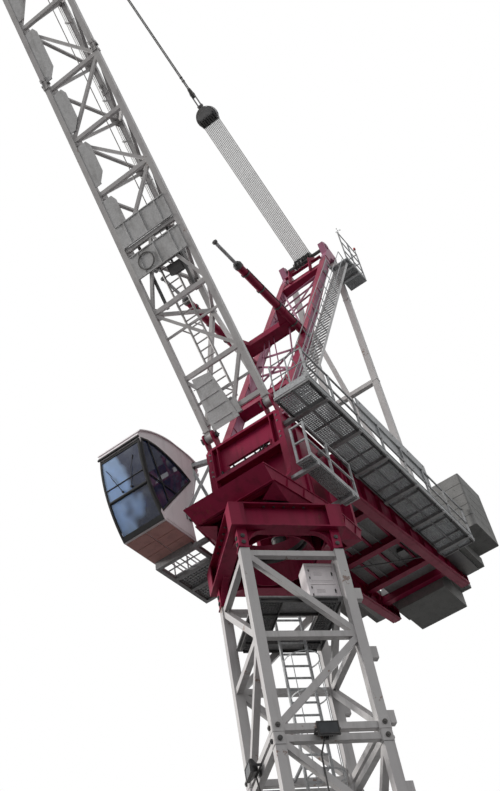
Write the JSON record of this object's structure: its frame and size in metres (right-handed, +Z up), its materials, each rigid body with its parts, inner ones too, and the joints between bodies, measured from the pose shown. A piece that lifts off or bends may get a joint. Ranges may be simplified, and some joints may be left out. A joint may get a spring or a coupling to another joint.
{
  "type": "half-size scale model of a luffing tower crane",
  "caption": "Luffing tower crane on a lattice mast, with slewing works, cab, A-frame, counter jib and a lattice jib that raises and lowers on rope stays.",
  "frame": {"origin": "centre of the mast's square foot frame, at ground level", "axes": "+Z up along the mast; +X the way the jib points at rest; +Y to the side with the long walkway"},
  "size_m": [14.1807, 2.813, 27.4667],
  "materials": {
    "grey_paint": "satin",
    "red_paint": "satin",
    "cab_paint": "satin",
    "concrete": "matte",
    "galvanised": "matte",
    "dark_steel": "matte",
    "steel_rope": "matte",
    "hook_paint": "satin",
    "glass": "gloss",
    "seat_plastic": "matte"
  },
  "bodies": {
    "mast": {"base_frame": "grey_paint", "mast_chords": "grey_paint", "mast_side_front": "grey_paint", "mast_side_right": "grey_paint", "mast_side_back": "grey_paint", "mast_side_left": "grey_paint", "mast_joint_plates": "grey_paint", "climbing_lugs": "grey_paint", "mast_ladder": "galvanised", "mast_platform": "galvanised", "control_cabinets": "cab_paint", "floodlights": "dark_steel", "tower_head": "red_paint", "slewing_ring_fixed": "dark_steel"},
    "upper_works": {"slewing_ring_turning": "dark_steel", "slewing_deck": "red_paint", "turntable": "red_paint", "jib_brackets": "red_paint", "counter_jib_frame": "red_paint", "machinery_deck": "galvanised", "luffing_winch": "dark_steel", "switch_cabinet": "cab_paint", "lower_ballast": "concrete", "ballast_stacks": "concrete", "walkway": "galvanised", "walkway_railing": "galvanised", "side_platform": "galvanised", "a_frame_legs": "red_paint", "a_frame_beams": "red_paint", "a_frame_sheaves": "dark_steel", "a_frame_ladder": "galvanised", "backstop_arms": "red_paint", "backstop_rods": "dark_steel", "rear_ties": "galvanised", "head_platform": "galvanised", "cab_shell": "cab_paint", "cab_glass": "glass", "cab_seat": "seat_plastic", "cab_platform": "galvanised", "cab_supports": "galvanised"},
    "jib": {"jib_chords": "grey_paint", "jib_lower_face": "grey_paint", "jib_left_face": "grey_paint", "jib_right_face": "grey_paint", "jib_head": "grey_paint", "jib_head_sheave": "dark_steel", "jib_plates": "galvanised", "hoist_winch": "dark_steel"},
    "stay": {"pendants": "steel_rope", "floating_block": "dark_steel"},
    "rope_falls": {"luffing_ropes": "steel_rope"},
    "hook": {"hook_block": "hook_paint"}
  },
  "joints": [
    {"name": "slew", "type": "hinge", "parent": "mast", "child": "upper_works", "pos_m": [0, 0, 9.92], "axis": [0, 0, 1], "continuous": true},
    {"name": "jib_luff", "type": "hinge", "parent": "upper_works", "child": "jib", "pos_m": [0.21, 0, 11.75], "axis": [0, -1, 0], "range_deg": [-40.6, 9.4]},
    {"name": "pendant_swing", "type": "hinge", "parent": "jib", "child": "stay", "pos_m": [7.78248, 0, 27.28309], "axis": [0, -1, 0], "range_deg": [-4, 6]},
    {"name": "rope_travel", "type": "slide", "parent": "stay", "child": "rope_falls", "axis": [-0.8336, 0, -0.5524], "range_m": [-2, 7], "deforming": ["luffing_ropes"]},
    {"name": "hook_plumb", "type": "hinge", "parent": "jib", "child": "hook", "pos_m": [8.58889, 0, 26.96644], "axis": [0, -1, 0], "range_deg": [-12, 45]}
  ],
  "couplings": [
    {"joint": "pendant_swing", "follows": "jib_luff", "ratio": -0.081},
    {"joint": "rope_travel", "follows": "jib_luff", "m_per_rad": -8.586},
    {"joint": "hook_plumb", "follows": "jib_luff", "ratio": -1}
  ]
}
